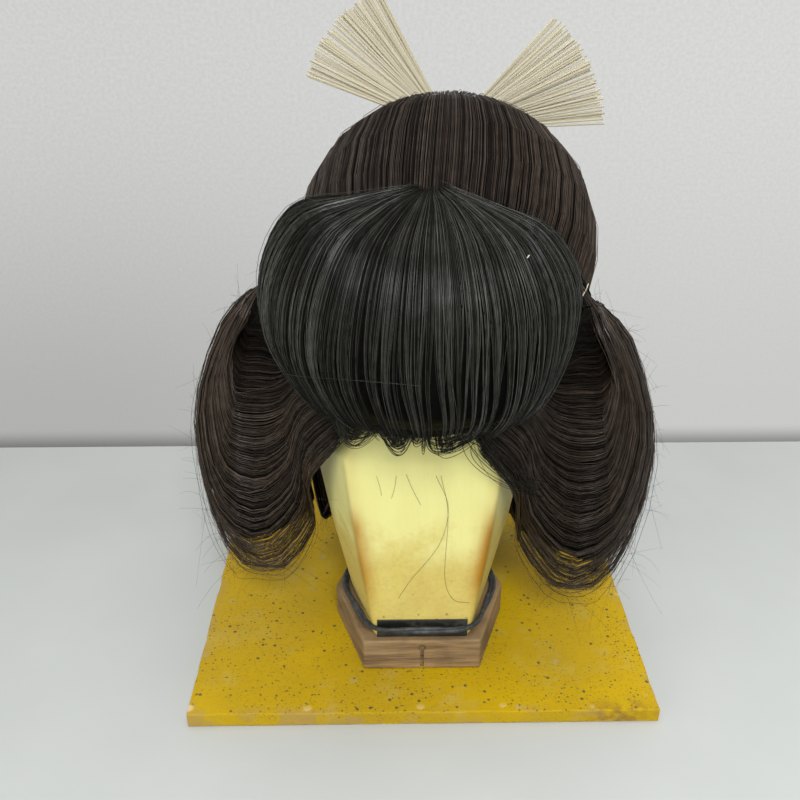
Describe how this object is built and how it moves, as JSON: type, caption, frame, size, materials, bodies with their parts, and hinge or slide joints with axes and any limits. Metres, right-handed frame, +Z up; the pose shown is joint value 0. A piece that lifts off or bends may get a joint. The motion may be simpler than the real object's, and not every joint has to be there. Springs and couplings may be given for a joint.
{
  "type": "traditional japanese wig on a wooden stand",
  "caption": "Black combed wig with a full forelock, wide drooping side wings, high dome and splayed paper-cord fans, set on a six-sided wooden post with a square board",
  "frame": {"origin": "centre of the board's underside", "axes": "+Z up, the wig's face side towards -Y and turned a little towards -X, +X to the viewer's right"},
  "size_m": [0.3031, 0.303, 0.4201],
  "materials": {
    "hair": "combed and oiled, soft sheen",
    "paper": "matt twisted paper",
    "board_paint": "worn yellow lacquer",
    "bare_wood": "weathered, bare",
    "post_paint": "aged cream-yellow paint",
    "elastic": "dull",
    "label_tape": "dull, blank"
  },
  "bodies": {
    "root": {"board": "board_paint", "foot": "bare_wood", "post": "post_paint", "label": "label_tape", "rubber_loop": "elastic", "crown": "hair", "forelock": "hair", "side_wing_left": "hair", "side_wing_right": "hair", "nape_hair": "hair", "knot": "hair", "paper_tie": "paper", "paper_fan_left": "paper", "paper_fan_right": "paper"}
  },
  "joints": []
}
